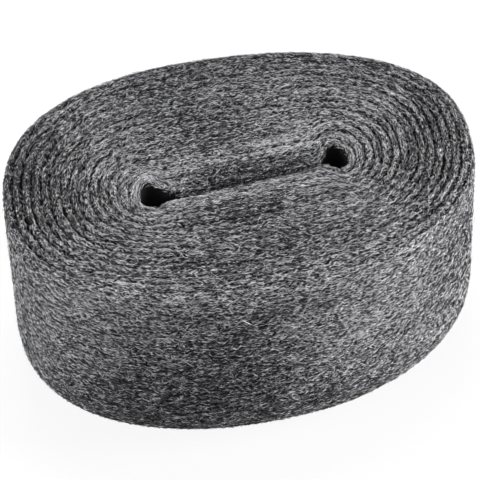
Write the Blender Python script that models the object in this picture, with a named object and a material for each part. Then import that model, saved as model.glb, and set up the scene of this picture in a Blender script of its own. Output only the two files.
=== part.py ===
"""Steel wool roll: one long band of felted steel fibre, wound flat into an oval coil.

The coil lies on its side, so the band's width is its height. The band is one solid. It starts beside
one winding eye, crosses to the other, and each turn lies on the one before it. The turns go from a
pinched core, with an open eye at both ends, out to a full oval. Metres, +Z up.
"""
import math

import bmesh
import bpy
from mathutils import Matrix, Vector

NAME = "steel_wool_roll"

# The coil as it lies
BAND_WIDTH = 0.100
OVAL_LENGTH = 0.2286
OVAL_WIDTH = 0.1774
TURNS = 14.6
TURN_GAP = 0.00035
STEPS_PER_TURN = 60

# The outline is a superellipse that is slightly out of round
LENGTH_POWER = 2.16
WIDTH_POWER = 2.42
OUT_OF_ROUND = (
    (math.sin, 2, 0.0165),
    (math.cos, 3, 0.0083),
    (math.sin, 3, 0.0065),
    (math.sin, 4, 0.0072),
)

# The core: two eyes, left by the winding prongs, and the layers pressed flat between them
EYE_SPACING = 0.092
START_EYE_RADIUS = 0.0053
FAR_EYE_RADIUS = 0.0090
START_EYE_SQUASH = 0.78
FAR_EYE_SQUASH = 0.58
EYE_SWEEP = math.radians(62.0)
EYE_CLOSES_IN = 0.0085
PINCH_SHARE = 0.45
CORE_SHIFT_X = 0.0025
CORE_SHIFT_Y = -0.0028
CORE_ANGLE = math.radians(3.9)

# Where the band starts, how it climbs over its own start, and how it thins at both of its ends
START_ANGLE = math.radians(255.0)
START_THICKNESS = 0.0018
START_TAPER = math.radians(12.0)
CLIMB_FROM = 0.60
CLIMB_FADE_TURNS = 3.0
TURN_WANDER = 0.10
END_THICKNESS = 0.0008

# Heights of the upper side
SHOULDER_DROP = 0.0014
FLAT_SHOULDER = 0.5
RIM_RADIUS = 0.0047
DISH_DEPTH = 0.0053
CHANNEL_DROP = 0.0044
CHANNEL_REACH = 0.0105
CHANNEL_SLOPE = 0.0095
TUFT_RISE = 0.0034
TUFT_ANGLE = START_ANGLE + math.radians(235.0)
TUFT_SPREAD = math.radians(30.0)
HEIGHT_WANDER = 0.0012
WANDER_PER_TURN = (2.37, 0.61)

# The wall leans out towards the foot, and its lower edge is tucked under
FOOT_RADIUS = 0.027
WALL_LEAN = 0.0024

# The finish of the fibres
COLOUR = (0.095, 0.095, 0.100, 1.0)
ROUGHNESS = 0.55
METALLIC = 0.85


def clear_objects():
    """Removes every object that the scene starts with."""
    for item in list(bpy.data.objects):
        bpy.data.objects.remove(item, do_unlink=True)


def fibre_material():
    """Returns the dark grey steel of the band."""
    material = bpy.data.materials.new("steel_fibre")
    material.use_nodes = True
    shader = material.node_tree.nodes["Principled BSDF"]
    shader.inputs["Base Color"].default_value = COLOUR
    shader.inputs["Roughness"].default_value = ROUGHNESS
    shader.inputs["Metallic"].default_value = METALLIC
    return material


def signed_power(value, power):
    """Returns the power of a value's size, with the value's sign."""
    return math.copysign(abs(value) ** power, value)


def outline_point(angle):
    """Returns the point of the outer oval that belongs to a winding angle."""
    x = signed_power(math.cos(angle), 2.0 / LENGTH_POWER)
    y = signed_power(math.sin(angle), 2.0 / WIDTH_POWER)
    bearing = math.atan2(y, x)
    swell = 1.0 + sum(share * wave(order * bearing) for wave, order, share in OUT_OF_ROUND)
    return Vector((x * OVAL_LENGTH / 2, y * OVAL_WIDTH / 2)) * swell


def along_core(angle):
    """Returns how far along the core an angle lies: -1 at the start eye, 1 at the far eye."""
    across = min(max(math.cos(angle) / math.cos(EYE_SWEEP), -1.0), 1.0)
    return math.sin(across * math.pi / 2)


def smooth_step(value):
    """Returns an even rise from 0 to 1 as the value goes from 0 to 1."""
    value = min(max(value, 0.0), 1.0)
    return value * value * (3.0 - 2.0 * value)


def core_point(angle, share):
    """Returns the point of the inner line, which rounds both eyes and is pinched between them.

    The layers fill the pinch as they go out, so it opens with their share of the way to the outline.
    """
    reach = along_core(angle)
    eye_radius = START_EYE_RADIUS + (FAR_EYE_RADIUS - START_EYE_RADIUS) * (reach + 1.0) / 2
    if abs(reach) < 1.0:
        from_eye = (1.0 - abs(reach)) * EYE_SPACING / 2
        opened = max(smooth_step(1.0 - from_eye / EYE_CLOSES_IN), smooth_step(share / PINCH_SHARE))
        half_gap = TURN_GAP / 2 + (eye_radius - TURN_GAP / 2) * opened
        side = Vector((0.0, math.copysign(half_gap, math.sin(angle))))
    else:
        beside = math.asin(math.sin(angle)) / EYE_SWEEP * math.pi / 2
        squash = START_EYE_SQUASH if reach < 0.0 else FAR_EYE_SQUASH
        side = Vector((math.copysign(math.cos(beside) * squash, reach), math.sin(beside))) * eye_radius
    flat = Vector((reach * EYE_SPACING / 2, 0.0)) + side
    flat.rotate(Matrix.Rotation(CORE_ANGLE, 2))
    return flat + Vector((CORE_SHIFT_X, CORE_SHIFT_Y))


def plan_point(angle, share):
    """Returns the point at a share of the way from the core, at 0, to the outline, at 1."""
    return core_point(angle, share).lerp(outline_point(angle), share)


def rounding(radius, inset):
    """Returns how far a rounded edge has fallen back at an inset from the side."""
    reach = min(max(radius - inset, 0.0), radius)
    return radius - math.sqrt(radius ** 2 - reach ** 2)


def layers_below(angle):
    """Returns how many layers of band lie between the core and the band at a winding angle.

    The first turn lies on the core and climbs over its own start beside the start eye. Further out
    the climb is spread over the whole turn. The layers are soft, so some are thicker than others.
    """
    turns = (angle - START_ANGLE) / math.tau
    whole = math.floor(turns)
    climb = smooth_step((turns - whole - CLIMB_FROM) / (1.0 - CLIMB_FROM))
    stepped = math.exp(-max(turns - 1.0, 0.0) / CLIMB_FADE_TURNS)
    layers = turns + (whole + climb - turns) * stepped
    sway = math.sin(2.3 * layers + 1.9 * math.sin(angle + 0.8) + 0.9 * math.cos(3.0 * angle))
    return layers + TURN_WANDER * math.sin(math.pi * layers / TURNS) * sway


def upper_height(offset, length, angle):
    """Returns the height of the coil's upper side at an offset from the core.

    The length is that of the way from the core to the outline. A channel runs between the eyes.
    """
    inward = 1.0 - offset / length
    quick, slow = (math.sin(rate * angle) for rate in WANDER_PER_TURN)
    wander = HEIGHT_WANDER * inward * (1.0 + quick * slow) / 2
    height = BAND_WIDTH - DISH_DEPTH * inward ** 2 - rounding(RIM_RADIUS, length - offset) - wander
    sunk = smooth_step((CHANNEL_REACH - offset) / CHANNEL_SLOPE) * (1.0 - along_core(angle) ** 4)
    tuft = math.exp(-((angle - TUFT_ANGLE) / TUFT_SPREAD) ** 2)
    return height - CHANNEL_DROP * sunk + TUFT_RISE * tuft


def band_section(angle):
    """Returns the band's section at a winding angle, as points in order around it."""
    length = (outline_point(angle) - core_point(angle, 0.0)).length
    pitch = (length - END_THICKNESS) / TURNS
    inner = layers_below(angle) * pitch
    full = layers_below(angle + math.tau) * pitch - TURN_GAP
    begun = (angle - START_ANGLE) / START_TAPER
    thickness = START_THICKNESS + (full - inner - START_THICKNESS) * min(begun, 1.0)
    outer = min(inner + thickness, length)
    crest = (outer - inner) / 4
    shoulder = SHOULDER_DROP * (FLAT_SHOULDER + (1.0 - FLAT_SHOULDER) * math.cos(angle) ** 2)

    def place(offset, height):
        lean = WALL_LEAN * offset / length * (1.0 - height / BAND_WIDTH)
        spot = plan_point(angle, (offset + lean) / length)
        return Vector((spot.x, spot.y, height))

    def top(offset, drop):
        return place(offset, upper_height(offset, length, angle) - drop)

    def foot(offset):
        return place(offset, rounding(FOOT_RADIUS, length - offset))

    return [
        foot(inner),
        foot(outer),
        top(outer, shoulder),
        top(outer - crest, 0.0),
        top(inner + crest, 0.0),
        top(inner, shoulder),
    ]


def winding_angles():
    """Returns the angles of the sections, from the band's inner end to its outer end."""
    count = round(TURNS * STEPS_PER_TURN)
    return [START_ANGLE + math.tau * step / STEPS_PER_TURN for step in range(count + 1)]


def wind_band():
    """Returns the band as one mesh, lofted between its sections and closed at both ends."""
    sections = [band_section(angle) for angle in winding_angles()]
    points = [point for section in sections for point in section]
    middle_x = (min(point.x for point in points) + max(point.x for point in points)) / 2
    middle_y = (min(point.y for point in points) + max(point.y for point in points)) / 2
    centre = Vector((middle_x, middle_y, 0.0))

    shape = bmesh.new()
    rings = [[shape.verts.new(point - centre) for point in section] for section in sections]
    for ring, following in zip(rings, rings[1:]):
        for side in range(len(ring)):
            turn = (side + 1) % len(ring)
            shape.faces.new((ring[side], ring[turn], following[turn], following[side]))
    shape.faces.new(tuple(reversed(rings[0])))
    shape.faces.new(tuple(rings[-1]))
    bmesh.ops.recalc_face_normals(shape, faces=shape.faces)
    mesh = bpy.data.meshes.new(NAME)
    shape.to_mesh(mesh)
    shape.free()
    mesh.shade_smooth()
    mesh.set_sharp_from_angle(angle=math.radians(40.0))
    return mesh


def build_roll():
    """Puts the wound band in a collection of its own."""
    clear_objects()
    collection = bpy.data.collections.new("steel_wool_roll_parts")
    bpy.context.scene.collection.children.link(collection)
    roll = bpy.data.objects.new(NAME, wind_band())
    roll.data.materials.append(fibre_material())
    collection.objects.link(roll)
    return roll


if __name__ == "__main__":
    build_roll()
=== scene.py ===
"""Steel wool roll, dressed for the studio.

A long band of felted steel fibre is wound flat into an oval coil that lies on its side. Geometry
trees wind the band by its rule and lay single fibres along the turns. Metres, +Z up.
"""
from __future__ import annotations

import logging
import math
from collections.abc import Mapping
from dataclasses import dataclass, fields
from enum import Enum
from types import SimpleNamespace
from typing import Any, Union

import bpy
from mathutils import Matrix, Vector


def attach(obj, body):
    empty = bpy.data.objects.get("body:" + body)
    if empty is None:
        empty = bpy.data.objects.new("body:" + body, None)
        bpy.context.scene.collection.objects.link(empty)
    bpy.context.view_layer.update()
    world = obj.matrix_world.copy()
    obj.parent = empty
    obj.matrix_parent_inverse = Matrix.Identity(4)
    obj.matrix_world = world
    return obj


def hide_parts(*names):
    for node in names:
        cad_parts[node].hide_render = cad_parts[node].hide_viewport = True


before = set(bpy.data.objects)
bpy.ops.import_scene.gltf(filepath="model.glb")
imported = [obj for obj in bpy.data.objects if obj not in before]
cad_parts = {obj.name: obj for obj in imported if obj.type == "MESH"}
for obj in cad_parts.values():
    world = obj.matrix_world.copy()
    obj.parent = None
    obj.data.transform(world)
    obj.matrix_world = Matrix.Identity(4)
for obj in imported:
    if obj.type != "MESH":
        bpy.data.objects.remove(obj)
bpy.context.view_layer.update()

LOG = logging.getLogger("steel_wool_roll")
NODE = "steel_wool_roll"
BODY = "root"
UV_NAME = "winding_uv"

Number = Union["Field", float, int]
Socket = bpy.types.NodeSocket

# How near to 0 or 1 a share counts as 0 or 1
NEAR = 0.001
# How near the points at a strand's end are joined to one, in metres
MERGING = 2e-6
# How much the finer waves of a noise weigh
NOISE_ROUGHNESS = 0.6

# The nodes that the trees use most
VECTOR_MATH = "ShaderNodeVectorMath"
ATTRIBUTE = "GeometryNodeInputNamedAttribute"
STORE = "GeometryNodeStoreNamedAttribute"
SET_POSITION = "GeometryNodeSetPosition"
RANDOM = "FunctionNodeRandomValue"


def linear_colour(code: str) -> tuple[float, float, float, float]:
    """Turns an sRGB hex colour to linear.

    Args:
        code: The colour as "#rrggbb".

    Returns:
        Linear red, green and blue, and an alpha of 1.
    """
    parts = [int(code[start:start + 2], 16) / 255 for start in (1, 3, 5)]
    red, green, blue = (
        part / 12.92 if part <= 0.04045 else ((part + 0.055) / 1.055) ** 2.4 for part in parts
    )
    return red, green, blue, 1.0


def add_node(
    tree: bpy.types.NodeTree,
    kind: str,
    inputs: Mapping[Any, Any] | None = None,
    **settings: Any,
) -> bpy.types.Node:
    """Adds a node with its settings, values and links.

    Args:
        tree: The tree that takes the node.
        kind: The node's type name.
        inputs: Values, fields or sockets, each by the name or the place of its input.
        **settings: The node's own properties.

    Returns:
        The new node.
    """
    node = tree.nodes.new(kind)
    for name, value in settings.items():
        setattr(node, name, value)
    for key, value in (inputs or {}).items():
        sockets = [socket for socket in node.inputs if socket.enabled and socket.name == key]
        socket = sockets[0] if sockets else node.inputs[key]
        source = value.socket if isinstance(value, Field) else value
        if isinstance(source, bpy.types.NodeSocket):
            tree.links.new(source, socket)
        else:
            socket.default_value = source
    return node


class Field:
    """A number inside a node tree, which takes plain arithmetic."""

    def __init__(self, tree: bpy.types.NodeTree, socket: bpy.types.NodeSocket) -> None:
        """Keeps the tree and the socket that the number comes from."""
        self.tree = tree
        self.socket = socket

    def reckon(self, operation: str, *others: Number) -> Field:
        """Adds a Math node on this number and the others, and returns its result."""
        node = add_node(self.tree, "ShaderNodeMath", dict(enumerate((self, *others))), operation=operation)
        return Field(self.tree, node.outputs[0])

    def __add__(self, other: Number) -> Field:
        """Adds."""
        return self.reckon("ADD", other)

    def __sub__(self, other: Number) -> Field:
        """Takes the other away."""
        return self.reckon("SUBTRACT", other)

    def __rsub__(self, other: float) -> Field:
        """Takes this number away from a plain one."""
        return (self * -1.0) + other

    def __mul__(self, other: Number) -> Field:
        """Multiplies."""
        return self.reckon("MULTIPLY", other)

    def __truediv__(self, other: Number) -> Field:
        """Divides."""
        return self.reckon("DIVIDE", other)

    def __pow__(self, other: Number) -> Field:
        """Raises to a power."""
        return self.reckon("POWER", other)

    __radd__ = __add__
    __rmul__ = __mul__

    def sin(self) -> Field:
        """Returns the sine."""
        return self.reckon("SINE")

    def cos(self) -> Field:
        """Returns the cosine."""
        return self.reckon("COSINE")

    def size(self) -> Field:
        """Returns the value without its sign."""
        return self.reckon("ABSOLUTE")

    def sign(self) -> Field:
        """Returns -1, 0 or 1."""
        return self.reckon("SIGN")

    def between(self, low: float, high: float) -> Field:
        """Holds the value between two limits."""
        return self.reckon("MAXIMUM", low).reckon("MINIMUM", high)

    def above(self, limit: Number) -> Field:
        """Returns 1 where the value is over the limit, and 0 elsewhere."""
        return self.reckon("GREATER_THAN", limit)

    def signed_power(self, power: Number) -> Field:
        """Returns the power of the value's size, with the value's sign."""
        return (self.size() ** power) * self.sign()

    def smooth_step(self) -> Field:
        """Returns an even rise from 0 to 1 as the value goes from 0 to 1."""
        held = self.between(0.0, 1.0)
        return held * held * (3.0 - 2.0 * held)

    def towards(self, other: Number, share: Number) -> Field:
        """Returns the value at a share of the way to another."""
        return self + (other - self) * share


class Tree:
    """A node tree, with short ways to add to it."""

    def __init__(self, group: bpy.types.NodeTree) -> None:
        """Keeps the tree that takes the nodes."""
        self.group = group

    def node(self, kind: str, inputs: Mapping[Any, Any] | None = None, **settings: Any) -> bpy.types.Node:
        """Adds a node to the tree, as add_node says."""
        return add_node(self.group, kind, inputs, **settings)

    def result(self, kind: str, inputs: Mapping[Any, Any] | None = None, **settings: Any) -> Socket:
        """Adds a node and returns the first output that it offers."""
        return next(out for out in self.node(kind, inputs, **settings).outputs if out.enabled)

    def field(self, kind: str, inputs: Mapping[Any, Any] | None = None, **settings: Any) -> Field:
        """Adds a node and returns the first output that it offers, as a number."""
        return Field(self.group, self.result(kind, inputs, **settings))


class GeometryTree(Tree):
    """A geometry tree with named inputs, and the way to turn it into a plain mesh."""

    def __init__(self, name: str) -> None:
        """Makes the tree with one geometry going in and one coming out.

        Args:
            name: The tree's name.
        """
        super().__init__(bpy.data.node_groups.new(name, "GeometryNodeTree"))
        self.group.is_modifier = True
        for way in ("INPUT", "OUTPUT"):
            self.group.interface.new_socket("Geometry", in_out=way, socket_type="NodeSocketGeometry")
        self.entry = self.group.nodes.new("NodeGroupInput")
        self.exit = self.group.nodes.new("NodeGroupOutput")
        self.values: dict[str, float] = {}

    @property
    def host(self) -> Socket:
        """The geometry that goes in."""
        return self.entry.outputs[0]

    def size(self, name: str, value: float) -> Field:
        """Adds a named input.

        Args:
            name: The input's name.
            value: The value that the modifier gives it.

        Returns:
            The input as a number inside the tree.
        """
        socket = self.group.interface.new_socket(name, in_out="INPUT", socket_type="NodeSocketFloat")
        socket.default_value = value
        self.values[socket.identifier] = value
        found = next(out for out in self.entry.outputs if out.identifier == socket.identifier)
        return Field(self.group, found)

    def sizes(self, owner: Any) -> SimpleNamespace:
        """Adds a named input for each number that a dataclass holds.

        Args:
            owner: The dataclass instance.

        Returns:
            The inputs, each under the name of its field.
        """
        values = {item.name: getattr(owner, item.name) for item in fields(owner)}
        return SimpleNamespace(**{
            name: self.size(name.replace("_", " "), value)
            for name, value in values.items()
            if isinstance(value, float)
        })

    def finish(self, geometry: Socket, materials: list[tuple[bpy.types.Material, Any]]) -> None:
        """Realizes the instances, sets the materials and links the result to the output.

        Args:
            geometry: The geometry that the tree has made.
            materials: Each material with the selection that takes it, or True for all.
        """
        geometry = self.result("GeometryNodeRealizeInstances", {"Geometry": geometry})
        for material, selection in materials:
            geometry = self.result(
                "GeometryNodeSetMaterial",
                {"Geometry": geometry, "Selection": selection, "Material": material},
            )
        self.group.links.new(geometry, self.exit.inputs[0])

    def grow(self, name: str, host: bpy.types.Mesh | None = None) -> bpy.types.Object:
        """Runs the tree and returns its result as a plain mesh object.

        Args:
            name: The piece's name.
            host: The mesh that goes into the tree, if it needs one.

        Returns:
            The piece, at the origin, with no modifier.
        """
        holder = bpy.data.objects.new(f"{name}_guide", host or bpy.data.meshes.new(f"{name}_guide"))
        bpy.context.scene.collection.objects.link(holder)
        modifier = holder.modifiers.new("growth", "NODES")
        modifier.node_group = self.group
        for identifier, value in self.values.items():
            modifier[identifier] = value
        depsgraph = bpy.context.evaluated_depsgraph_get()
        mesh = bpy.data.meshes.new_from_object(
            holder.evaluated_get(depsgraph), preserve_all_data_layers=True, depsgraph=depsgraph
        )
        bpy.data.objects.remove(holder)
        mesh.name = name
        piece = bpy.data.objects.new(name, mesh)
        bpy.context.scene.collection.objects.link(piece)
        mesh.calc_loop_triangles()
        LOG.info("%s: %d triangles", name, len(mesh.loop_triangles))
        return piece


@dataclass(frozen=True)
class SteelFibre:
    """Bare mild steel, shaved to fine wire.

    Attributes:
        name: The material's name.
        colour: The steel's colour as sRGB hex.
        roughness: How far the shaved surface spreads the light.
        metallic: How metallic the strand reads; the painted shade between the turns takes some away.
    """

    name: str
    colour: str
    roughness: float
    metallic: float = 1.0

    def material(self) -> bpy.types.Material:
        """Makes the strand's material.

        Returns:
            The material.
        """
        material = bpy.data.materials.new(self.name)
        material.use_nodes = True
        shader = material.node_tree.nodes["Principled BSDF"]
        shader.inputs["Base Color"].default_value = linear_colour(self.colour)
        shader.inputs["Roughness"].default_value = self.roughness
        shader.inputs["Metallic"].default_value = self.metallic
        return material


@dataclass(frozen=True)
class SteelFelt:
    """The matted depth of the band, under the strands that stand clear.

    The fibres run along the winding, so every pattern is drawn on the band's own map, whose first
    axis is the length along the band and whose second axis is the way across it, both in metres.
    Real fibres are about 0.05 mm wide. A streak is drawn several times as wide, so that it shows.

    Attributes:
        name: The material's name.
        shade: The colour down between the fibres, as sRGB hex.
        body: The colour of the matted fibres, as sRGB hex.
        glint: The colour of a strand at the surface, as sRGB hex.
        shade_stop: The pattern's value up to which the shade is seen.
        body_stop: The value at which the matted fibres are.
        glint_stop: The value from which a strand glints.
        streak_mm: The length and width of a strand's streak.
        clump_mm: The length and width of a lock of fibres.
        clump_weight: How much the locks weigh beside the streaks.
        lean_deg: How far the crossing strands turn from the winding.
        bends_per_metre: How often a strand bends.
        bend_mm: How far it bends aside.
        roughness: The roughness of the matted fibres.
        metallic: How metallic they read, with shade between them.
        relief_mm: The height that the streaks stand out of the surface.
        relief_strength: How fully that height tells in the light.
    """

    name: str
    shade: str
    body: str
    glint: str
    shade_stop: float
    body_stop: float
    glint_stop: float
    streak_mm: tuple[float, float]
    clump_mm: tuple[float, float]
    clump_weight: float
    lean_deg: tuple[float, ...]
    bends_per_metre: float
    bend_mm: float
    roughness: float
    metallic: float
    relief_mm: float
    relief_strength: float

    def streaks(
        self, tree: Tree, flow: Socket, size_mm: tuple[float, float], lean: float, detail: float
    ) -> Field:
        """Adds noise that is drawn out along the winding.

        Args:
            tree: The material's tree.
            flow: The band's map, in metres, already made wavy.
            size_mm: The length and width of one streak.
            lean: How far the streaks turn from the winding, in degrees.
            detail: The detail of the noise.

        Returns:
            The noise, from 0 to 1.
        """
        turned = tree.result(
            "ShaderNodeVectorRotate", {"Vector": flow, "Angle": math.radians(lean)}, rotation_type="Z_AXIS"
        )
        along, across = (1000.0 / size for size in size_mm)
        drawn = tree.result("ShaderNodeMapping", {"Vector": turned, "Scale": (along, across, 1.0)})
        return tree.field(
            "ShaderNodeTexNoise",
            {"Vector": drawn, "Scale": 1.0, "Detail": detail, "Roughness": NOISE_ROUGHNESS},
        )

    def pattern(self, tree: Tree) -> Field:
        """Adds the pattern of crossing streaks and locks.

        Args:
            tree: The material's tree.

        Returns:
            The pattern's value, low in the shade and high on a strand.
        """
        flow = tree.result("ShaderNodeUVMap", uv_map=UV_NAME)
        bend = tree.node(
            "ShaderNodeTexNoise", {"Vector": flow, "Scale": self.bends_per_metre, "Detail": 2.0}
        )
        middle = (0.5, 0.5, 0.5)
        wave = tree.result(VECTOR_MATH, {0: bend.outputs["Color"], 1: middle}, operation="SUBTRACT")
        reach = {"Vector": wave, "Scale": self.bend_mm / 1000}
        wavy = tree.result(VECTOR_MATH, {0: flow, 1: tree.result(VECTOR_MATH, reach, operation="SCALE")})
        strands, *crossing = (
            self.streaks(tree, wavy, self.streak_mm, lean, 2.0) for lean in self.lean_deg
        )
        for layer in crossing:
            strands = strands.reckon("MAXIMUM", layer)
        clumps = self.streaks(tree, wavy, self.clump_mm, 0.0, 3.0)
        return clumps * self.clump_weight + strands

    def material(self) -> bpy.types.Material:
        """Makes the felt's material.

        Returns:
            The material, with its pattern in colour and relief.
        """
        material = bpy.data.materials.new(self.name)
        material.use_nodes = True
        shader = material.node_tree.nodes["Principled BSDF"]
        tree = Tree(material.node_tree)
        pattern = self.pattern(tree)
        ramp = tree.node("ShaderNodeValToRGB", {"Fac": pattern})
        stops = ramp.color_ramp.elements
        stops[0].position = self.shade_stop
        stops[0].color = linear_colour(self.shade)
        stops[1].position = self.glint_stop
        stops[1].color = linear_colour(self.glint)
        stops.new(self.body_stop).color = linear_colour(self.body)
        tree.group.links.new(ramp.outputs["Color"], shader.inputs["Base Color"])
        bump = tree.result(
            "ShaderNodeBump",
            {
                "Height": pattern,
                "Strength": self.relief_strength,
                "Distance": self.relief_mm / 1000,
            },
        )
        tree.group.links.new(bump, shader.inputs["Normal"])
        shader.inputs["Roughness"].default_value = self.roughness
        shader.inputs["Metallic"].default_value = self.metallic
        return material


class Finish(Enum):
    """The finishes of the roll."""

    # Painted shade deep in the steel wool, between the turns: so dark that the gaps and eyes read as holes
    DEPTH = SteelFibre("steel_wool_depth_shade", "#0c0c0d", 0.8, 0.3)
    # Shaved steel strands painted nearly black as shade: they part the bright ones, so that each one shows
    SHADED = SteelFibre("steel_fibre_shaded", "#0e0e0f", 0.50)
    # Plain shaved mild steel: the soft mid grey of the whole coil
    DULL = SteelFibre("steel_fibre_dull", "#68686c", 0.42)
    # Shaved steel strands painted near white: a painted cold white glint along each one
    BRIGHT = SteelFibre("steel_fibre_bright", "#f8f8fb", 0.30)
    # Matted steel fibre below the strands: painted dark as shade under them, with fine grey streaks that
    # follow the winding and painted glints
    FELT = SteelFelt(
        name="steel_wool_felt",
        shade="#020202",
        body="#3c3c3e",
        glint="#f4f4f8",
        shade_stop=0.72,
        body_stop=0.81,
        glint_stop=0.93,
        streak_mm=(2.4, 0.36),
        clump_mm=(14.0, 1.2),
        clump_weight=0.40,
        lean_deg=(0.0, 30.0, -34.0),
        bends_per_metre=220.0,
        bend_mm=2.2,
        roughness=0.55,
        metallic=0.75,
        relief_mm=0.5,
        relief_strength=0.9,
    )

    def material(self) -> bpy.types.Material:
        """Returns the finish's material, made when it is first asked for."""
        return bpy.data.materials.get(self.value.name) or self.value.material()


class Zone(Enum):
    """The parts of the band that lie in the open."""

    CROWN = 1
    WALL = 2
    FOOT = 3


@dataclass(frozen=True)
class Patch:
    """A place where light or shade is painted on the fibres, making them brighter or darker.

    Attributes:
        spot: The middle of the patch, in metres.
        reach: Its reach along each axis, in metres.
        shine: How much painted light the strands take, or painted shade below zero.
    """

    spot: tuple[float, float, float]
    reach: tuple[float, float, float]
    shine: float


@dataclass(frozen=True)
class Winding:
    """The rule by which the band is wound, with the sizes that the solid part has.

    Lengths are metres and angles radians. The winding angle grows along the band, and a share of 0 is
    the core and 1 the outline. An offset is the distance from the core, and an inset that from the
    outline. In each method, s holds the named inputs of the tree, one for each number here.
    """

    # The coil as it lies
    band_width: float = 0.100
    oval_length: float = 0.2286
    oval_width: float = 0.1774
    turns: float = 14.6
    turn_gap: float = 0.00035

    # The outline, a superellipse that is slightly out of round
    length_power: float = 2.16
    width_power: float = 2.42
    skew_share: float = 0.0165
    egg_share: float = 0.0083
    pear_share: float = 0.0065
    square_share: float = 0.0072

    # The core: two eyes, and the layers pressed flat between them
    eye_spacing: float = 0.092
    start_eye_radius: float = 0.0053
    far_eye_radius: float = 0.0090
    start_eye_squash: float = 0.78
    far_eye_squash: float = 0.58
    eye_sweep: float = math.radians(62.0)
    eye_closes_in: float = 0.0085
    pinch_share: float = 0.45
    core_shift_x: float = 0.0025
    core_shift_y: float = -0.0028
    core_angle: float = math.radians(3.9)

    # Where the band starts, how it climbs over its own start, and how it thins at both ends
    start_angle: float = math.radians(255.0)
    start_thickness: float = 0.0018
    start_taper: float = math.radians(12.0)
    climb_from: float = 0.60
    climb_fade_turns: float = 3.0
    end_thickness: float = 0.0008

    # How unevenly the soft layers lie
    turn_wander: float = 0.10
    sway_per_layer: float = 2.3
    sway_swing: float = 1.9
    sway_turned: float = 0.8
    sway_lobe_swing: float = 0.9

    # The upper side: a dish with a channel between the eyes and a tuft beside one of them
    rim_radius: float = 0.0047
    dish_depth: float = 0.0053
    channel_drop: float = 0.0044
    channel_reach: float = 0.0105
    channel_slope: float = 0.0095
    tuft_rise: float = 0.0034
    tuft_angle: float = math.radians(490.0)
    tuft_spread: float = math.radians(30.0)
    height_wander: float = 0.0012
    quick_wander: float = 2.37
    slow_wander: float = 0.61
    groove_depth: float = 0.0014
    groove_power: float = 3.5
    flat_groove: float = 0.5

    # The wall leans out towards the foot, and its lower edge is tucked under
    foot_radius: float = 0.027
    wall_lean: float = 0.0024

    # The felt lies a little below the solid's surface, and its lumps rise from there
    coat_depth: float = 0.00035
    lump_height: float = 0.0004
    lump_size: float = 0.0050

    # How closely the strands lie: fewer where the turns part, in the channel and beneath
    parting_power: float = 3.0
    parted_cover: float = 0.25
    channel_bare: float = 0.5
    foot_cover: float = 0.06
    foot_cover_reach: float = 0.020
    foot_cover_slope: float = 0.010
    seam_spread: float = 0.0022
    seam_lost_at_eye: float = 0.75

    # How bright they are: painted highlights at the channel's lips, round the eyes and on the tuft,
    # painted shade in the channel and beneath
    lip_offset: float = 0.0125
    lip_spread: float = 0.0045
    lip_shine: float = 1.0
    eye_spread: float = 0.0130
    eye_shine: float = 0.9
    tuft_shine: float = 2.2
    shade_reach: float = 0.0055
    shade_reach_behind: float = 0.0062
    shade_slope: float = 0.0060
    channel_painted_shade: float = 1.6
    foot_painted_shade: float = 0.35

    # The line that makes the section: its points at the ends of the foot, wall, crown and inner side
    ring_stops: tuple[float, float, float, float] = (4.0, 13.0, 23.0, 26.0)
    steps_per_turn: int = 180
    patches: tuple[Patch, ...] = ()

    @property
    def step(self) -> float:
        """The angle from one section to the next."""
        return math.tau / self.steps_per_turn

    def outline(self, angle: Field, s: SimpleNamespace) -> tuple[Field, Field]:
        """Finds the point of the outer oval that belongs to a winding angle.

        Args:
            angle: The winding angle.
            s: The named inputs.

        Returns:
            The point's x and y.
        """
        x = angle.cos().signed_power(2.0 / self.length_power)
        y = angle.sin().signed_power(2.0 / self.width_power)
        bearing = y.reckon("ARCTAN2", x)
        swell = (
            1.0
            + (bearing * 2.0).sin() * s.skew_share
            + (bearing * 3.0).cos() * s.egg_share
            + (bearing * 3.0).sin() * s.pear_share
            + (bearing * 4.0).sin() * s.square_share
        )
        return x * swell * s.oval_length * 0.5, y * swell * s.oval_width * 0.5

    def along_core(self, angle: Field, s: SimpleNamespace) -> Field:
        """Returns how far along the core an angle lies: -1 at the start eye, 1 at the far eye."""
        return ((angle.cos() / s.eye_sweep.cos()).between(-1.0, 1.0) * (math.pi / 2)).sin()

    def beside_eye(self, angle: Field, s: SimpleNamespace) -> Field:
        """Returns 1 at both eyes, falling quickly to 0 between them."""
        return self.along_core(angle, s) ** 4.0

    def core(self, angle: Field, share: Number, s: SimpleNamespace) -> tuple[Field, Field]:
        """Finds the point of the inner line, which rounds both eyes and is pinched between them.

        Args:
            angle: The winding angle.
            share: The layer's share of the way to the outline, with which the pinch opens.
            s: The named inputs.

        Returns:
            The point's x and y.
        """
        reach = self.along_core(angle, s)
        eye_radius = s.start_eye_radius.towards(s.far_eye_radius, (reach + 1.0) * 0.5)
        from_eye = (1.0 - reach.size()) * s.eye_spacing * 0.5
        opened = (1.0 - from_eye / s.eye_closes_in).smooth_step()
        filled = (share / s.pinch_share).smooth_step() if isinstance(share, Field) else 0.0
        opened = opened.reckon("MAXIMUM", filled)
        half_gap = (s.turn_gap * 0.5).towards(eye_radius, opened)
        beside = angle.sin().reckon("ARCSINE") / s.eye_sweep * (math.pi / 2)
        rounds_eye = reach.size().above(0.99999)
        squash = s.start_eye_squash.towards(s.far_eye_squash, (reach + 1.0) * 0.5)
        side_x = beside.cos() * eye_radius * squash * reach.sign() * rounds_eye
        side_y = (half_gap * angle.sin().sign()).towards(beside.sin() * eye_radius, rounds_eye)
        flat_x = reach * s.eye_spacing * 0.5 + side_x
        cos, sin = s.core_angle.cos(), s.core_angle.sin()
        return (
            flat_x * cos - side_y * sin + s.core_shift_x,
            flat_x * sin + side_y * cos + s.core_shift_y,
        )

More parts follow.
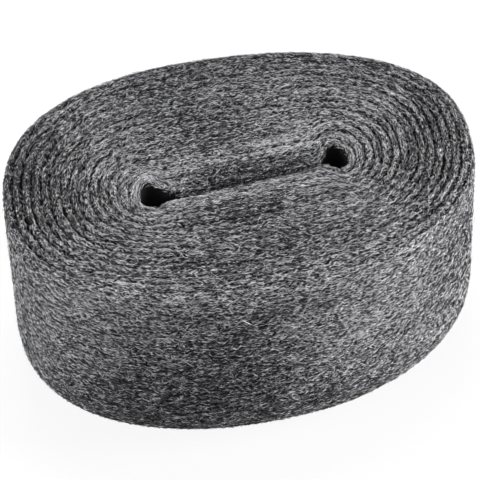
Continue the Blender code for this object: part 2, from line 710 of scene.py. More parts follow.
    def plan(self, angle: Field, share: Field, s: SimpleNamespace) -> tuple[Field, Field]:
        """Finds the point at a share of the way from the core to the outline.

        Args:
            angle: The winding angle.
            share: The share of the way.
            s: The named inputs.

        Returns:
            The point's x and y.
        """
        inner = self.core(angle, share, s)
        outer = self.outline(angle, s)
        return inner[0].towards(outer[0], share), inner[1].towards(outer[1], share)

    def layers_below(self, angle: Field, s: SimpleNamespace) -> Field:
        """Counts the layers between the core and the band, uneven as soft layers are.

        Args:
            angle: The winding angle.
            s: The named inputs.

        Returns:
            The number of layers.
        """
        turns = (angle - s.start_angle) / math.tau
        whole = turns.reckon("FLOOR")
        climb = ((turns - whole - s.climb_from) / (1.0 - s.climb_from)).smooth_step()
        stepped = ((turns - 1.0).reckon("MAXIMUM", 0.0) / s.climb_fade_turns * -1.0).reckon("EXPONENT")
        layers = turns + (whole + climb - turns) * stepped
        swing = (angle + s.sway_turned).sin() * s.sway_swing
        sway = (layers * s.sway_per_layer + swing + (angle * 3.0).cos() * s.sway_lobe_swing).sin()
        middle = (layers / s.turns * math.pi).sin()
        return layers + sway * middle * s.turn_wander

    def fallen(self, radius: Field, inset: Field) -> Field:
        """Returns how far a rounded edge has fallen back at an inset from the side."""
        reach = (radius - inset).reckon("MAXIMUM", 0.0).reckon("MINIMUM", radius)
        return radius - (radius * radius - reach * reach).reckon("SQRT")

    def channel(self, offset: Field, angle: Field, s: SimpleNamespace) -> Field:
        """Returns the depth of the channel between the eyes, as a share, at an offset from the core."""
        slope = ((s.channel_reach - offset) / s.channel_slope).smooth_step()
        return slope * (1.0 - self.beside_eye(angle, s))

    def top(self, offset: Field, at: SimpleNamespace, s: SimpleNamespace) -> Field:
        """Finds the height of the upper side.

        Args:
            offset: The distance from the core.
            at: The point's measures.
            s: The named inputs.

        Returns:
            The height.
        """
        share = offset / at.length
        inward = 1.0 - share
        quick_slow = (at.angle * s.quick_wander).sin() * (at.angle * s.slow_wander).sin()
        wander = s.height_wander * inward * (1.0 + quick_slow) * 0.5
        sunk = self.channel(offset, at.angle, s) * s.channel_drop
        away = (at.angle - s.tuft_angle) / s.tuft_spread
        tuft = (away ** 2.0 * -1.0).reckon("EXPONENT") * s.tuft_rise
        dish = inward * inward * s.dish_depth
        rim = self.fallen(s.rim_radius, at.length - offset)
        return s.band_width - dish - rim - wander - sunk + tuft

    def hump(self, place: Field, middle: Number, spread: Number) -> Field:
        """Returns 1 at the middle, falling evenly to 0 on both sides of it."""
        return (((place - middle) / spread) ** 2.0 * -1.0).reckon("EXPONENT")

    def ramp(self, place: Field, start: float, end: float) -> Field:
        """Returns 0 up to the start, 1 from the end on, and an even rise between them."""
        return ((place - start) / (end - start)).between(0.0, 1.0)

    def span(self, run: Field, rise: Field) -> Field:
        """Returns the length of a slope from its run and its rise."""
        return (run * run + rise * rise).reckon("SQRT")

    def guide(self, tree: GeometryTree, s: SimpleNamespace) -> Socket:
        """Draws the middle of the band's thickness as one long line.

        Args:
            tree: The tree.
            s: The named inputs.

        Returns:
            The line. It carries the winding angle, the offsets of both faces of the band, the length
            from the core to the outline, the run along the band and its direction.
        """
        stations = round(self.turns * self.steps_per_turn) + 1
        line = tree.result("GeometryNodeCurvePrimitiveLine", {"Start": (0, 0, 0), "End": (1, 0, 0)})
        line = tree.result("GeometryNodeResampleCurve", {"Curve": line, "Count": stations})
        index = tree.field("GeometryNodeInputIndex")
        angle = index * self.step + self.start_angle
        line = tree.result(STORE, {"Geometry": line, "Name": "winding_angle", "Value": angle})
        angle = tree.field(ATTRIBUTE, {"Name": "winding_angle"})
        core = self.core(angle, 0.0, s)
        outline = self.outline(angle, s)
        length = self.span(outline[0] - core[0], outline[1] - core[1])
        pitch = (length - s.end_thickness) / s.turns
        inner = self.layers_below(angle, s) * pitch
        full = self.layers_below(angle + math.tau, s) * pitch - s.turn_gap
        begun = ((angle - s.start_angle) / s.start_taper).between(0.0, 1.0)
        thickness = s.start_thickness.towards(full - inner, begun)
        outer = (inner + thickness).reckon("MINIMUM", length)
        middle = self.plan(angle, (inner + outer) * 0.5 / length, s)
        for name, value in (("inner", inner), ("outer", outer), ("reach_out", length)):
            line = tree.result(STORE, {"Geometry": line, "Name": name, "Value": value})
        spot = tree.result("ShaderNodeCombineXYZ", {"X": middle[0], "Y": middle[1]})
        line = tree.result(SET_POSITION, {"Geometry": line, "Position": spot})
        run = tree.node("GeometryNodeSplineParameter").outputs["Length"]
        line = tree.result(STORE, {"Geometry": line, "Name": "run", "Value": run})
        winding = {"Name": "winding", "Value": tree.result("GeometryNodeInputTangent")}
        return tree.result(STORE, {"Geometry": line, **winding}, data_type="FLOAT_VECTOR")

    def sweep(self, tree: GeometryTree, guide: Socket) -> Socket:
        """Sweeps a small ring along the guide.

        Args:
            tree: The tree.
            guide: The line along the band.

        Returns:
            The band, not yet in its shape. Each point carries the way across the band's thickness
            and the way up, both from 0 to 1.
        """
        foot_end, wall_end, crown_end, ring_end = self.ring_stops
        ring = tree.result(
            "GeometryNodeCurvePrimitiveCircle", {"Resolution": int(ring_end), "Radius": 0.001}
        )
        index = tree.result("GeometryNodeInputIndex")
        ring = tree.result(STORE, {"Geometry": ring, "Name": "ring", "Value": index})
        band = tree.result(
            "GeometryNodeCurveToMesh", {"Curve": guide, "Profile Curve": ring, "Fill Caps": True}
        )
        place = tree.field(ATTRIBUTE, {"Name": "ring"})
        across = self.ramp(place, 0.0, foot_end) - self.ramp(place, wall_end, crown_end)
        level = self.ramp(place, foot_end, wall_end) - self.ramp(place, crown_end, ring_end)
        for name, value in (("across", across), ("level", level)):
            band = tree.result(STORE, {"Geometry": band, "Name": name, "Value": value})
        return band

    def measures(self, tree: GeometryTree) -> SimpleNamespace:
        """Reads what each point of the swept band knows of its place.

        Args:
            tree: The tree.

        Returns:
            The winding angle, the way across and up, the outer face's offset, the length from the
            core to the outline, the point's own offset, and whether it lies on the underside.
        """
        names = ("winding_angle", "across", "level", "inner", "outer", "reach_out")
        read = [tree.field(ATTRIBUTE, {"Name": name}) for name in names]
        angle, across, level, inner, outer, length = read
        return SimpleNamespace(
            angle=angle,
            across=across,
            level=level,
            outer=outer,
            length=length,
            offset=inner.towards(outer, across),
            beneath=1.0 - level.above(NEAR),
        )

    def ends(self, at: SimpleNamespace) -> Field:
        """Returns 1 at the ends of the oval, falling to 0 on its long sides."""
        return at.angle.cos().size() ** 2.0

    def parting(self, at: SimpleNamespace, power: Number) -> Field:
        """Returns 1 where a turn meets its neighbours, falling to 0 in its middle."""
        return (at.across * 2.0 - 1.0).size() ** power

    def groove(self, at: SimpleNamespace, s: SimpleNamespace) -> Field:
        """Returns the depth of the groove between two turns."""
        return s.groove_depth * s.flat_groove.towards(1.0, self.ends(at))

    def cover(self, at: SimpleNamespace, s: SimpleNamespace) -> Field:
        """Finds how closely the strands lie.

        Args:
            at: The point's measures.
            s: The named inputs.

        Returns:
            The share of the full number of strands.
        """
        edge = self.parting(at, s.parting_power)
        sunk = self.channel(at.offset, at.angle, s)
        cover = (1.0 - edge * self.ends(at) * s.parted_cover) * (1.0 - sunk * s.channel_bare)
        reached = ((s.foot_cover_reach - (at.length - at.offset)) / s.foot_cover_slope).smooth_step()
        below = s.foot_cover + reached * (1.0 - s.foot_cover)
        return cover.towards(below, at.beneath)

    def shine(self, at: SimpleNamespace, s: SimpleNamespace) -> Field:
        """Finds the painted light and painted shade of the strands, brighter or darker than plain.

        Args:
            at: The point's measures.
            s: The named inputs.

        Returns:
            The shine, which is 0 where they are plain and below 0 where shade is painted.
        """
        beside_eye = self.beside_eye(at.angle, s)
        # Painted highlights on the channel's lips, round the eyes and on the tuft
        lip = self.hump(at.offset, s.lip_offset, s.lip_spread) * (1.0 - beside_eye) * s.lip_shine
        rings = self.hump(at.offset, 0.0, s.eye_spread) * beside_eye * s.eye_shine
        tuft = self.hump(at.angle, s.tuft_angle, s.tuft_spread) * s.tuft_shine
        # Painted shade in the channel, reaching further on its far side
        behind = at.angle.sin().above(0.0)
        reach = s.shade_reach + behind * s.shade_reach_behind
        in_channel_shade = ((reach - at.offset) / s.shade_slope).smooth_step() * (1.0 - beside_eye)
        # Painted shade beneath
        low = at.beneath * s.foot_painted_shade
        return lip + rings + tuft - in_channel_shade * s.channel_painted_shade - low

    def seam(self, at: SimpleNamespace, s: SimpleNamespace) -> Field:
        """Returns how closely the strands lie that bridge the channel's bottom."""
        bottom = self.hump(at.offset, 0.0, s.seam_spread)
        return bottom * (1.0 - self.beside_eye(at.angle, s) * s.seam_lost_at_eye)

    def shape(self, tree: GeometryTree, band: Socket, at: SimpleNamespace, s: SimpleNamespace) -> Socket:
        """Moves the swept band's points to their places and sets it about the middle.

        Args:
            tree: The tree.
            band: The swept band.
            at: The points' measures.
            s: The named inputs.

        Returns:
            The band in its shape. Each point carries its distance across the band's width.
        """
        parting = self.groove(at, s)
        top = self.top(at.offset, at, s) - self.parting(at, s.groove_power) * parting
        foot = self.fallen(s.foot_radius, at.length - at.offset)
        edge_top = self.top(at.outer, at, s) - parting
        edge_foot = self.fallen(s.foot_radius, at.length - at.outer)
        over = self.span(at.outer - at.offset, edge_top - top)
        under = self.span(at.outer - at.offset, edge_foot - foot)
        across_map = at.level * (edge_top - edge_foot + over) - (1.0 - at.level) * under
        band = tree.result(STORE, {"Geometry": band, "Name": "across_map", "Value": across_map})
        height = foot.towards(top, at.level)
        lean = s.wall_lean * at.offset / at.length * (1.0 - height / s.band_width)
        spot = self.plan(at.angle, (at.offset + lean) / at.length, s)
        spot = tree.result("ShaderNodeCombineXYZ", {"X": spot[0], "Y": spot[1], "Z": height})
        band = tree.result(SET_POSITION, {"Geometry": band, "Position": spot})
        box = tree.node("GeometryNodeBoundBox", {"Geometry": band})
        corners = tree.result(VECTOR_MATH, {0: box.outputs["Min"], 1: box.outputs["Max"]})
        halved = {0: corners, 1: (-0.5, -0.5, 0.0)}
        centring = tree.result(VECTOR_MATH, halved, operation="MULTIPLY")
        return tree.result(SET_POSITION, {"Geometry": band, "Offset": centring})

    def rubbed(self, tree: GeometryTree) -> Field:
        """Adds the patches of painted light and painted shade to the shine.

        Args:
            tree: The tree.

        Returns:
            The shine with the patches.
        """
        spot = tree.result("GeometryNodeInputPosition")
        shine = tree.field(ATTRIBUTE, {"Name": "shine"})
        for patch in self.patches:
            away = tree.result(VECTOR_MATH, {0: spot, 1: patch.spot}, operation="SUBTRACT")
            away = tree.result(VECTOR_MATH, {0: away, 1: patch.reach}, operation="DIVIDE")
            away = tree.field(VECTOR_MATH, {0: away}, operation="LENGTH")
            shine = shine + self.hump(away, 0.0, 1.0) * patch.shine
        return shine

    def swell(self, tree: GeometryTree, band: Socket, exposed: Field, s: SimpleNamespace) -> Socket:
        """Sinks the open faces below the strands and gives them soft lumps.

        Args:
            tree: The tree.
            band: The band, with its faces outwards.
            exposed: 1 where the band lies in the open, and 0 elsewhere.
            s: The named inputs.

        Returns:
            The band.
        """
        spot = tree.result("GeometryNodeInputPosition")
        noise = tree.field(
            "ShaderNodeTexNoise", {"Vector": spot, "Scale": 1.0 / self.lump_size, "Detail": 3.0}
        )
        rise = ((noise - 0.5) * 2.0 * s.lump_height - s.coat_depth) * exposed
        risen = {"Vector": tree.result("GeometryNodeInputNormal"), "Scale": rise}
        offset = tree.result(VECTOR_MATH, risen, operation="SCALE")
        return tree.result(SET_POSITION, {"Geometry": band, "Offset": offset})

    def tree(self, felt: bpy.types.Material, depth: bpy.types.Material) -> GeometryTree:
        """Builds the tree that winds the band.

        Args:
            felt: The band's material in the open.
            depth: Its painted shade between the turns and in the eyes.

        Returns:
            The tree. Its mesh carries the winding's direction, the zone and the band's map.
        """
        tree = GeometryTree("wound_band")
        s = tree.sizes(self)
        band = self.sweep(tree, self.guide(tree, s))
        at = self.measures(tree)
        for name, value in (("cover", self.cover), ("shine", self.shine), ("seam", self.seam)):
            band = tree.result(STORE, {"Geometry": band, "Name": name, "Value": value(at, s)})
        band = self.shape(tree, band, at, s)
        band = tree.result(STORE, {"Geometry": band, "Name": "shine", "Value": self.rubbed(tree)})

        last_turn = at.angle.above(self.start_angle + (self.turns - 1.0) * math.tau - self.step / 2)
        crown = at.level.above(1.0 - NEAR)
        outside = at.across.above(1.0 - NEAR) * last_turn
        wall = outside * (1.0 - crown)
        zone = crown * Zone.CROWN.value + wall * Zone.WALL.value
        zone = zone + at.beneath * (1.0 - wall) * Zone.FOOT.value
        band = tree.result(STORE, {"Geometry": band, "Name": "zone", "Value": zone}, domain="FACE")
        run, across = (tree.result(ATTRIBUTE, {"Name": name}) for name in ("run", "across_map"))
        mapped = {"Name": UV_NAME, "Value": tree.result("ShaderNodeCombineXYZ", {"X": run, "Y": across})}
        band = tree.result(STORE, {"Geometry": band, **mapped}, data_type="FLOAT2", domain="CORNER")
        band = tree.result("GeometryNodeFlipFaces", {"Mesh": band})
        band = self.swell(tree, band, crown.reckon("MAXIMUM", outside), s)
        for name in ("ring", "inner", "outer", "reach_out", "run", "across", "level", "across_map"):
            band = tree.result("GeometryNodeRemoveAttribute", {"Geometry": band, "Name": name})
        band = tree.result("GeometryNodeSetShadeSmooth", {"Geometry": band})
        zone = tree.field(ATTRIBUTE, {"Name": "zone"})
        # The faces between the turns and in the eyes take the painted shade, the open ones the felt
        tree.finish(band, [(depth, True), (felt, zone.above(0.5))])
        return tree


@dataclass(frozen=True)
class FibreCoat:
    """Single strands that stand clear of the felt and lie along the turns.

    The real fibres are about 0.05 mm wide. They are drawn about six times as wide at their thickest,
    so that a strand shows as one in the picture, and so that their number stays within reason.

    Attributes:
        name: The piece's name.
        zones: The parts of the band that the strands cover.
        seed: The seed of everything random.
        density: The number of strands on a square metre.
        length: The length of a strand.
        radius: Half the width of a strand.
        flatness: A strand's thickness as a share of its width.
        yaw_spread: How far the strands stray from the winding, as a standard deviation.
        curl: How far a strand turns over its length, as a standard deviation.
        lift: How far a strand's middle lies above the felt.
        stand: How much further the highest strands stand clear.
        bright_share: The share of strands that take the painted glint.
        shaded_share: The share of strands painted nearly black, as painted shade.
        shine_weight: How much the felt's shine adds to the chance of a bright strand.
        ply_length: The length of a lock in which the strands lie closer and brighter.
        ply_width: The width of such a lock.
        ply_contrast: How sharply a lock stands out from what lies beside it.
        ply_gap: How much thinner the strands lie between the locks, as a share.
        ply_tone: How much brighter the strands in a lock are.
        reach_range: The shortest and the longest strand, as shares of the length.
        girth_range: The thinnest and the thickest strand, as shares of the radius.
        roll_range: How far a strand's flat face is turned aside, in radians.
        rise_power: How rare the highest strands are.
        end_rise: The share of its height that a strand keeps at its ends.
        taper_power: How bluntly a strand tapers to its ends.
        cover: The felt's attribute that the number of strands follows.
        steps: The number of straight steps in a strand.
    """

    name: str
    zones: tuple[Zone, ...]
    seed: int
    density: float
    length: float = 0.0031
    radius: float = 0.00014
    flatness: float = 0.6
    yaw_spread: float = math.radians(24.0)
    curl: float = math.radians(44.0)
    lift: float = 0.00022
    stand: float = 0.00040
    bright_share: float = 0.36
    shaded_share: float = 0.40
    shine_weight: float = 0.25
    ply_length: float = 0.030
    ply_width: float = 0.0010
    ply_contrast: float = 2.6
    ply_gap: float = 0.45
    ply_tone: float = 0.35
    reach_range: tuple[float, float] = (0.6, 1.3)
    girth_range: tuple[float, float] = (0.65, 1.25)
    roll_range: tuple[float, float] = (-1.2, 1.2)
    rise_power: float = 4.0
    end_rise: float = 0.2
    taper_power: float = 0.7
    cover: str = "cover"
    steps: int = 2

    def wander(self, tree: GeometryTree, seed: int) -> Field:
        """Returns a random number with a mean of 0 and a standard deviation of 1."""
        parts = [tree.field(RANDOM, {"Min": -1.0, "Max": 1.0, "Seed": seed + part}) for part in range(3)]
        return parts[0] + parts[1] + parts[2]

    def locks(self, tree: GeometryTree, s: SimpleNamespace) -> Field:
        """Draws where the strands lie in locks.

        Args:
            tree: The tree.
            s: The named inputs.

        Returns:
            0 between the locks, 1 in the middle of one.
        """
        scale = (1.0 / self.ply_length, 1.0 / self.ply_width, 1.0)
        flow = tree.result(ATTRIBUTE, {"Name": UV_NAME}, data_type="FLOAT_VECTOR")
        drawn = tree.result(VECTOR_MATH, {0: flow, 1: scale}, operation="MULTIPLY")
        noise = tree.field(
            "ShaderNodeTexNoise",
            {"Vector": drawn, "Scale": 1.0, "Detail": 2.0, "Roughness": NOISE_ROUGHNESS},
        )
        return ((noise - 0.5) * s.ply_contrast + 0.5).between(0.0, 1.0)

    def roots(self, tree: GeometryTree, s: SimpleNamespace) -> tuple[Socket, dict[str, Field]]:
        """Scatters the strands' first points over the felt, and draws what makes each one differ.

        Args:
            tree: The tree.
            s: The named inputs.

        Returns:
            The points, and each strand's chances by name.
        """
        zone, cover, shine = (
            tree.field(ATTRIBUTE, {"Name": name}) for name in ("zone", self.cover, "shine")
        )
        chosen = sum((1.0 - (zone - float(part.value)).size().above(0.5) for part in self.zones), 0.0)
        open_side = tree.result(
            "GeometryNodeSeparateGeometry", {"Geometry": tree.host, "Selection": chosen}, domain="FACE"
        )
        ply = self.locks(tree, s)
        filled = 1.0 - (1.0 - ply) * s.ply_gap
        scattered = tree.node(
            "GeometryNodeDistributePointsOnFaces",
            {"Mesh": open_side, "Density": cover * filled * s.density, "Seed": self.seed},
        ).outputs["Points"]
        points = tree.result("GeometryNodePointsToVertices", {"Points": scattered})
        seed = self.seed * 100
        ranges = (self.reach_range, (0.0, 1.0), (0.0, 1.0), self.girth_range, self.roll_range)
        reach, rise, tone, girth, roll = (
            tree.field(RANDOM, {"Min": low, "Max": high, "Seed": seed + 6 + place})
            for place, (low, high) in enumerate(ranges)
        )
        chances = {
            "yaw": self.wander(tree, seed) * s.yaw_spread,
            "turn": self.wander(tree, seed + 3) * s.curl,
            "reach": reach,
            "rise": rise ** s.rise_power,
            "tone": tone + (ply - 0.5) * s.ply_tone + shine * s.shine_weight,
            "girth": girth,
            "roll": roll,
        }
        for name, chance in chances.items():
            points = tree.result(STORE, {"Geometry": points, "Name": name, "Value": chance})
        return points, {name: tree.field(ATTRIBUTE, {"Name": name}) for name in chances}

    def below(self, tree: GeometryTree, value: Socket, spot: Socket) -> Socket:
        """Returns a value of the felt at its point nearest to a spot."""
        inputs = {"Mesh": tree.host, "Value": value, "Sample Position": spot}
        return tree.result("GeometryNodeSampleNearestSurface", inputs, data_type="FLOAT_VECTOR")

    def lay(
        self, tree: GeometryTree, points: Socket, chance: dict[str, Field], s: SimpleNamespace
    ) -> Socket:
        """Draws each strand as a line that goes over the felt step by step.

        Args:
            tree: The tree.
            points: The strands' first points.
            chance: Each strand's chances by name.
            s: The named inputs.

        Returns:
            The lines, as a mesh of edges.
        """
        here = tree.result("GeometryNodeInputPosition")
        upright = tree.result("GeometryNodeInputNormal")
        winding = tree.result(ATTRIBUTE, {"Name": "winding"}, data_type="FLOAT_VECTOR")
        newest: Any = True
        for step in range(self.steps):
            turn = chance["yaw"] + chance["turn"] * ((step + 0.5) / self.steps - 0.5)
            axis = self.below(tree, upright, here)
            heading = tree.result(
                "ShaderNodeVectorRotate",
                {"Vector": self.below(tree, winding, here), "Axis": axis, "Angle": turn},
                rotation_type="AXIS_ANGLE",
            )
            stride = {"Vector": heading, "Scale": s.length * chance["reach"] / self.steps}
            stride = tree.result(VECTOR_MATH, stride, operation="SCALE")
            ahead = tree.result(VECTOR_MATH, {0: here, 1: stride})
            arch = s.end_rise + math.sin(math.pi * (step + 1) / self.steps)
            height = (s.lift + chance["rise"] * s.stand) * arch
            risen = {"Vector": self.below(tree, upright, ahead), "Scale": height}
            risen = tree.result(VECTOR_MATH, risen, operation="SCALE")
            goal = tree.result(VECTOR_MATH, {0: self.below(tree, here, ahead), 1: risen})
            lowest = (-1.0, -1.0, self.radius)
            goal = tree.result(VECTOR_MATH, {0: goal, 1: lowest}, operation="MAXIMUM")
            offset = tree.result(VECTOR_MATH, {0: goal, 1: here}, operation="SUBTRACT")
            grown = tree.node(
                "GeometryNodeExtrudeMesh",
                {"Mesh": points, "Selection": newest, "Offset": offset},
                mode="VERTICES",
            )
            points, newest = grown.outputs["Mesh"], grown.outputs["Top"]
        return points

    def wires(
        self, tree: GeometryTree, lines: Socket, chance: dict[str, Field], s: SimpleNamespace
    ) -> Socket:
        """Turns the lines to thin flat wires with closed points at both ends.

        Args:
            tree: The tree.
            lines: The lines, as a mesh of edges.
            chance: Each strand's chances by name.
            s: The named inputs.

        Returns:
            The wires.
        """
        lines = tree.result("GeometryNodeMeshToCurve", {"Mesh": lines})
        lines = tree.result("GeometryNodeSetCurveTilt", {"Curve": lines, "Tilt": chance["roll"]})
        along = tree.field("GeometryNodeSplineParameter")
        taper = (along * math.pi).sin().reckon("MAXIMUM", 0.0) ** s.taper_power
        profile = tree.result("GeometryNodeCurvePrimitiveCircle", {"Resolution": 3, "Radius": 1.0})
        flat = tree.result("ShaderNodeCombineXYZ", {"X": 1.0, "Y": s.flatness, "Z": 1.0})
        profile = tree.result("GeometryNodeTransform", {"Geometry": profile, "Scale": flat})
        wires = tree.result(
            "GeometryNodeCurveToMesh",
            {"Curve": lines, "Profile Curve": profile, "Scale": taper * chance["girth"] * s.radius},
        )
        wires = tree.result("GeometryNodeMergeByDistance", {"Geometry": wires, "Distance": MERGING})
        return tree.result("GeometryNodeSetShadeSmooth", {"Geometry": wires})

    def tree(self) -> GeometryTree:
        """Builds the tree that lays the strands on the felt that goes into it.

        Returns:
            The tree.
        """
        tree = GeometryTree(self.name)
        s = tree.sizes(self)
        points, chance = self.roots(tree, s)
        wires = self.wires(tree, self.lay(tree, points, chance, s), chance, s)
        # Each strand is plain grey, or by its tone takes the painted glint or the painted shade
        tree.finish(wires, [
            (Finish.DULL.material(), True),
            (Finish.BRIGHT.material(), chance["tone"].above(1.0 - s.bright_share)),
            (Finish.SHADED.material(), 1.0 - chance["tone"].above(s.shaded_share)),
        ])
        return tree


@dataclass(frozen=True)
class Roll:
    """The wound band and the strands on it.

    Attributes:
        winding: The rule of the band.
        coats: The coats of strands.
    """

    winding: Winding
    coats: tuple[FibreCoat, ...]

    def dress(self, piece: bpy.types.Object) -> None:
        """Fixes a piece to the body."""
        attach(piece, BODY)

    def build(self) -> list[bpy.types.Object]:
        """Builds the felt and its coats.

        Returns:
            All pieces, the felt first.
        """
        tree = self.winding.tree(Finish.FELT.material(), Finish.DEPTH.material())
        felt = tree.grow("felt_band")
        pieces = [felt]
        pieces += [coat.tree().grow(coat.name, felt.data) for coat in self.coats]
        for piece in pieces:
            self.dress(piece)
        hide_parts(NODE)
        return pieces


@dataclass(frozen=True)
class Lamp:
    """A soft square lamp that faces the roll.

    Attributes:
        name: The lamp's name.
        place: Where it stands.
        side: The length of its sides.
        power: Its power in watts.
    """

    name: str
    place: tuple[float, float, float]
    side: float
    power: float

    def build(self, aim: Vector) -> None:
        """Adds the lamp.

        Args:
            aim: The point that it is turned towards.
        """
        light = bpy.data.lights.new(self.name, "AREA")
        light.shape = "SQUARE"
        light.size = self.side
        light.energy = self.power
        lamp = bpy.data.objects.new(self.name, light)
        lamp.location = self.place
        lamp.rotation_euler = (aim - Vector(self.place)).to_track_quat("-Z", "Y").to_euler()
        bpy.context.scene.collection.objects.link(lamp)


@dataclass(frozen=True)
class Studio:
    """A pale floor that turns up into a round wall, with soft lamps and the camera.

    Attributes:
        floor_radius: The radius of the floor.
        floor_bend: The radius of the bend from the floor to the wall.
        bend_steps: The number of straight steps in the bend.
        around: The number of sides of the floor.
        wall_height: The height of the wall round it.
        sky: The grey of the room above the wall, as a share of white.
        paper_colour: The floor's colour as sRGB hex.
        white_share: The share of plain white in the floor's look.
        glossy_share: How much of that white the steel's gloss picks up.
        plain_reach: The half length and half width of the plain paper below the roll.
        lamps: The lamps.
        aim: The point that the camera looks at.
        azimuth: The camera's turn from the front, in degrees.
        elevation: The camera's height above level, in degrees.
        roll: The camera's turn about its own axis, in degrees.
        distance: The camera's distance from the aim.
        lens: The focal length in millimetres.
    """

    floor_radius: float = 3.0
    floor_bend: float = 0.4
    bend_steps: int = 8
    around: int = 64
    wall_height: float = 1.6
    sky: float = 0.38
    paper_colour: str = "#ededed"
    white_share: float = 0.9
    glossy_share: float = 0.25
    plain_reach: tuple[float, float] = (0.100, 0.075)
    lamps: tuple[Lamp, ...] = (
        Lamp("key", (1.15, -0.30, 0.40), 0.45, 20.0),
        Lamp("fill", (-1.15, -0.20, 0.30), 0.45, 9.0),
        Lamp("top", (0.05, 0.45, 1.30), 0.5, 13.5),
    )
    aim: tuple[float, float, float] = (-0.00178, 0.00115, 0.04945)
    azimuth: float = 10.87
    elevation: float = 41.99
    roll: float = -2.22
    distance: float = 0.899
    lens: float = 135.7

    def paper(self) -> bpy.types.Material:
        """Makes the matt white paper of the floor and wall, which keeps a soft shadow.

        Returns:
            The material.
        """
        material = bpy.data.materials.new("white_paper")
        material.use_nodes = True
        shader = material.node_tree.nodes["Principled BSDF"]
        shader.inputs["Base Color"].default_value = linear_colour(self.paper_colour)
        shader.inputs["Roughness"].default_value = 0.9
        tree = Tree(material.node_tree)
        path = tree.node("ShaderNodeLightPath").outputs
        seen = Field(tree.group, path["Is Camera Ray"])
        for name, part in (("Is Glossy Ray", self.glossy_share), ("Is Transmission Ray", 1.0)):
            seen = seen + Field(tree.group, path[name]) * part
        spot = tree.node("ShaderNodeTexCoord").outputs["Object"]
        scale = (*(1 / reach for reach in self.plain_reach), 1.0)
        away = tree.result("ShaderNodeMapping", {"Vector": spot, "Scale": scale})
        away = tree.field(VECTOR_MATH, {0: away}, operation="LENGTH")
        share = seen * away.above(1.0) * self.white_share
        white = tree.result("ShaderNodeEmission", {"Color": (1, 1, 1, 1), "Strength": 1.0})
        mix = tree.result("ShaderNodeMixShader", {0: share, 1: shader.outputs[0], 2: white})
        tree.group.links.new(mix, tree.group.nodes["Material Output"].inputs["Surface"])
        return material

    def floor(self) -> None:
        """Adds the floor and the wall round it as one turned shell."""
        start = self.floor_radius - self.floor_bend
        path = [(start, 0.0)]
        for step in range(1, self.bend_steps + 1):
            angle = math.pi / 2 * step / self.bend_steps
            bent = start + self.floor_bend * math.sin(angle)
            path.append((bent, self.floor_bend * (1 - math.cos(angle))))
        path.append((self.floor_radius, self.wall_height))
        points = [(0.0, 0.0, 0.0)]
        for radius, height in path:
            for step in range(self.around):
                angle = math.tau * step / self.around
                points.append((radius * math.cos(angle), radius * math.sin(angle), height))
        faces: list[tuple[int, ...]] = [
            (0, 1 + step, 1 + (step + 1) % self.around) for step in range(self.around)
        ]
        for ring in range(len(path) - 1):
            low = 1 + ring * self.around
            high = low + self.around
            for step in range(self.around):
                following = (step + 1) % self.around
                faces.append((low + step, high + step, high + following, low + following))
        mesh = bpy.data.meshes.new("studio_floor")
        mesh.from_pydata(points, [], faces)
        mesh.shade_smooth()
        mesh.materials.append(self.paper())
        floor = bpy.data.objects.new("studio_floor", mesh)
        bpy.context.scene.collection.objects.link(floor)

    def camera(self) -> None:
        """Adds the camera and makes it the scene's own."""
        turns = (self.azimuth, self.elevation, self.roll)
        azimuth, elevation, roll = (math.radians(turn) for turn in turns)
        back = Vector((
            -math.cos(elevation) * math.sin(azimuth),
            -math.cos(elevation) * math.cos(azimuth),
            math.sin(elevation),
        ))
        level = Vector((math.cos(azimuth), -math.sin(azimuth), 0.0))
        upright = back.cross(level)
        right = level * math.cos(roll) + upright * math.sin(roll)
        up = upright * math.cos(roll) - level * math.sin(roll)
        data = bpy.data.cameras.new("camera")
        data.lens = self.lens
        data.sensor_width = 36.0
        camera = bpy.data.objects.new("camera", data)
        turn = Matrix((right, up, back)).transposed().to_4x4()
        camera.matrix_world = Matrix.Translation(Vector(self.aim) + back * self.distance) @ turn
        bpy.context.scene.collection.objects.link(camera)
        bpy.context.scene.camera = camera

    def build(self) -> None:
        """Builds the floor, the room, the lamps and the camera."""
        self.floor()
        world = bpy.data.worlds.new("room")
        world.use_nodes = True
        room = world.node_tree.nodes["Background"]
        room.inputs["Color"].default_value = (self.sky, self.sky, self.sky, 1.0)
        room.inputs["Strength"].default_value = 1.0
        scene = bpy.context.scene
        scene.world = world
        scene.view_settings.view_transform = "Standard"
        for lamp in self.lamps:
            lamp.build(Vector(self.aim))
        self.camera()
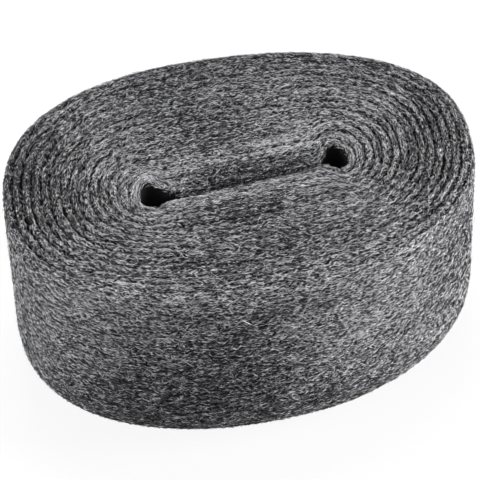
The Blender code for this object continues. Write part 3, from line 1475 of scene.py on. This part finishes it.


# Where light or shade is painted on the roll
PATCHES = (
    # The front wall: painted light on the right and the left, painted shade low down between them
    Patch((0.043, -0.080, 0.074), (0.034, 0.025, 0.036), 1.15),
    Patch((0.078, -0.066, 0.024), (0.035, 0.030, 0.016), 0.9),
    Patch((0.030, -0.080, 0.045), (0.020, 0.020, 0.026), 0.3),
    Patch((-0.092, -0.058, 0.080), (0.026, 0.028, 0.032), 0.8),
    Patch((-0.063, -0.078, 0.094), (0.018, 0.012, 0.012), 0.6),
    Patch((-0.050, -0.085, 0.035), (0.050, 0.020, 0.028), -0.9),
    Patch((-0.020, -0.088, 0.055), (0.024, 0.016, 0.028), -0.5),
    Patch((-0.018, -0.089, 0.086), (0.028, 0.016, 0.008), -0.6),
    Patch((0.095, -0.048, 0.064), (0.016, 0.020, 0.024), -0.8),
    Patch((0.092, -0.048, 0.0972), (0.010, 0.013, 0.010), 0.6),
    Patch((-0.094, -0.058, 0.018), (0.022, 0.020, 0.014), -0.6),
    Patch((-0.082, -0.068, 0.045), (0.016, 0.020, 0.032), -0.4),
    # The crown's rim: painted light along the front, painted shade at the left end, at the right and along
    # the back
    Patch((-0.072, -0.072, 0.0974), (0.012, 0.006, 0.007), 0.8),
    Patch((-0.048, -0.0843, 0.0965), (0.018, 0.0032, 0.0045), 1.1),
    Patch((-0.018, -0.0866, 0.0972), (0.022, 0.0028, 0.0042), 0.8),
    Patch((0.010, -0.0850, 0.0972), (0.016, 0.0032, 0.0045), 0.4),
    Patch((0.096, 0.012, 0.0973), (0.012, 0.030, 0.020), -0.7),
    Patch((0.079, 0.066, 0.0973), (0.020, 0.014, 0.020), -0.6),
    Patch((-0.105, 0.020, 0.097), (0.022, 0.045, 0.030), -1.0),
    Patch((0.087, -0.030, 0.097), (0.012, 0.018, 0.014), -0.4),
    Patch((0.035, 0.082, 0.095), (0.050, 0.014, 0.030), -0.9),
    Patch((-0.030, 0.068, 0.097), (0.030, 0.018, 0.020), -0.5),
    # The crown in front of the channel and behind it: painted shade, and painted light in places
    Patch((0.010, -0.062, 0.097), (0.046, 0.014, 0.015), -0.7),
    Patch((-0.040, -0.066, 0.097), (0.014, 0.009, 0.012), -0.8),
    Patch((-0.010, -0.030, 0.097), (0.024, 0.013, 0.020), -1.1),
    Patch((-0.008, 0.030, 0.097), (0.025, 0.022, 0.020), -0.7),
    Patch((0.028, 0.010, 0.097), (0.018, 0.010, 0.020), 1.0),
    Patch((0.072, 0.022, 0.097), (0.016, 0.020, 0.020), 0.8),
    Patch((0.038, -0.036, 0.0973), (0.018, 0.012, 0.020), 0.6),
    # Painted light on the curled fibres beside the left eye
    Patch((-0.038, 0.001, 0.099), (0.016, 0.010, 0.020), 1.1),
    Patch((-0.062, 0.010, 0.097), (0.013, 0.015, 0.020), 0.5),
    Patch((-0.044, -0.024, 0.097), (0.016, 0.008, 0.020), 0.6),
)

# The upper layer of strands on the crown and the wall is finer, more curled and has more painted glints
LOOSER: dict[str, Any] = {
    "length": 0.0037,
    "radius": 0.00012,
    "curl": math.radians(50.0),
    "lift": 0.00036,
    "bright_share": 0.46,
    "shaded_share": 0.36,
}

# The coats of strands, each with its density for a square metre
COATS = (
    FibreCoat("crown_fibres_low", (Zone.CROWN,), 1, 1_300_000.0),
    FibreCoat(
        "crown_fibres_high", (Zone.CROWN,), 2, 1_280_000.0, yaw_spread=math.radians(30.0), **LOOSER
    ),
    FibreCoat("wall_fibres_low", (Zone.WALL,), 3, 975_000.0),
    FibreCoat(
        "wall_fibres_high", (Zone.WALL,), 4, 975_000.0, yaw_spread=math.radians(34.0), **LOOSER
    ),
    FibreCoat("foot_fibres", (Zone.FOOT,), 5, 940_000.0, lift=0.0001),
    # Strands across the channel's bottom: fewer painted glints, more painted shade
    FibreCoat(
        "seam_fibres", (Zone.CROWN,), 7, 3_000_000.0, length=0.0042, yaw_spread=math.radians(42.0),
        lift=0.0003, bright_share=0.12, shaded_share=0.45, cover="seam",
    ),
    # Stray fibres, most of them with the painted glint
    FibreCoat(
        "stray_fibres", (Zone.CROWN, Zone.WALL), 6, 18_000.0, length=0.011, radius=0.00009,
        yaw_spread=math.radians(40.0), curl=math.radians(110.0), lift=0.0004, stand=0.0009,
        bright_share=0.7, shaded_share=0.1, steps=6,
    ),
)


def main() -> None:
    """Builds the roll and the studio."""
    logging.basicConfig(level=logging.INFO, format="%(name)s %(message)s")
    pieces = Roll(Winding(patches=PATCHES), COATS).build()
    for piece in pieces:
        LOG.info("%s: built", piece.name)
    Studio().build()


if __name__ == "__main__":
    main()
